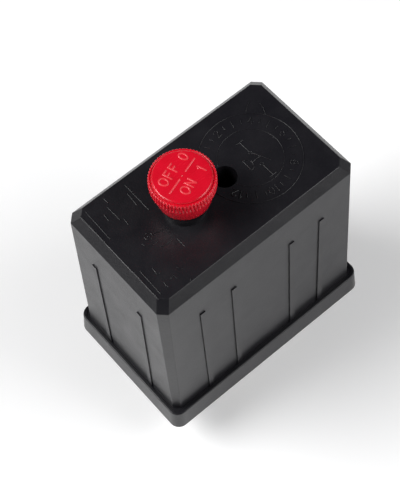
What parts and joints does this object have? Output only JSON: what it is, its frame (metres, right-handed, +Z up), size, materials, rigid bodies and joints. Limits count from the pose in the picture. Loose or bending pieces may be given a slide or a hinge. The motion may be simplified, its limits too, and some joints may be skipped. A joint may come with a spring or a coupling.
{
  "type": "compressor pressure switch",
  "caption": "Compressor pressure switch: a deep black cover on a rimmed base, a red push-pull knob, a sprung lever with contacts inside and a threaded pressure port underneath.",
  "frame": {"origin": "mouth of the pressure port, on its axis, at the bottom and in the middle of the footprint", "axes": "+Z up through the lid, +X along the case away from the knob, +Y across the case"},
  "size_m": [0.0932, 0.0598, 0.1237],
  "materials": {
    "black_moulding": "satin, spark-eroded grain",
    "red_moulding": "semi-gloss",
    "phenolic": "satin",
    "white_moulding": "satin",
    "zinc_steel": "bright zinc plate",
    "yellow_zinc": "yellow zinc plate",
    "spring_steel": "oiled spring wire",
    "die_cast": "as cast",
    "brass": "turned",
    "silver": "satin silver",
    "rubber": "moulded"
  },
  "bodies": {
    "housing": {"cover": "black_moulding", "base": "black_moulding", "contact_block": "phenolic", "cable_clamp": "black_moulding", "cover_screw": "zinc_steel", "cover_screw_washer": "zinc_steel", "cover_bar": "zinc_steel", "flange": "die_cast", "flange_screws": "yellow_zinc", "flange_washers": "yellow_zinc", "diaphragm": "rubber", "frame": "yellow_zinc", "pivot_pin": "zinc_steel", "pivot_clips": "spring_steel", "range_spring": "spring_steel", "spring_cap": "zinc_steel", "range_nut": "yellow_zinc", "range_stud": "zinc_steel", "differential_spring": "spring_steel", "differential_washer": "zinc_steel", "differential_nut": "yellow_zinc", "differential_stud": "zinc_steel", "block_screws": "zinc_steel", "fixed_contacts": "brass", "fixed_contact_tips": "silver", "terminal_screws": "zinc_steel", "terminal_clamps": "brass", "rocker_pin": "zinc_steel", "spring_bridge": "yellow_zinc", "rocker_spring": "spring_steel", "stem_clip": "spring_steel", "cable_grommets": "rubber", "clamp_screws": "zinc_steel", "earth_screws": "yellow_zinc", "earth_washers": "brass"},
    "knob": {"knob": "red_moulding", "knob_stem": "black_moulding"},
    "rocker": {"rocker": "white_moulding", "contact_bridges": "brass", "bridge_tips": "silver", "contact_springs": "spring_steel"},
    "lever": {"pressure_lever": "zinc_steel", "spring_seat": "zinc_steel"},
    "piston": {"piston": "brass"},
    "trip_link": {"trip_link": "zinc_steel"}
  },
  "joints": [
    {"name": "knob_slide", "type": "slide", "parent": "housing", "child": "knob", "axis": [0, 0, 1], "range_m": [-0.005, 0]},
    {"name": "rocker_hinge", "type": "hinge", "parent": "housing", "child": "rocker", "pos_m": [-0.036, 0, 0.058], "axis": [0, 1, 0], "range_deg": [0, 12], "deforming": ["rocker_spring"]},
    {"name": "lever_hinge", "type": "hinge", "parent": "housing", "child": "lever", "pos_m": [-0.024, 0, 0.034], "axis": [0, -1, 0], "range_deg": [0, 2.9], "stiffness_Nm_per_rad": 4, "springref_deg": -5.73, "deforming": ["range_spring", "differential_spring"]},
    {"name": "piston_slide", "type": "slide", "parent": "housing", "child": "piston", "axis": [0, 0, 1], "range_m": [0, 0.0013]},
    {"name": "trip_link_slide", "type": "slide", "parent": "housing", "child": "trip_link", "axis": [0, 0, -1], "range_m": [0, 0.0004]}
  ],
  "couplings": [
    {"joint": "rocker_hinge", "follows": "knob_slide", "rad_per_m": -40.6},
    {"joint": "piston_slide", "follows": "lever_hinge", "m_per_rad": 0.0237},
    {"joint": "trip_link_slide", "follows": "lever_hinge", "m_per_rad": 0.006}
  ]
}
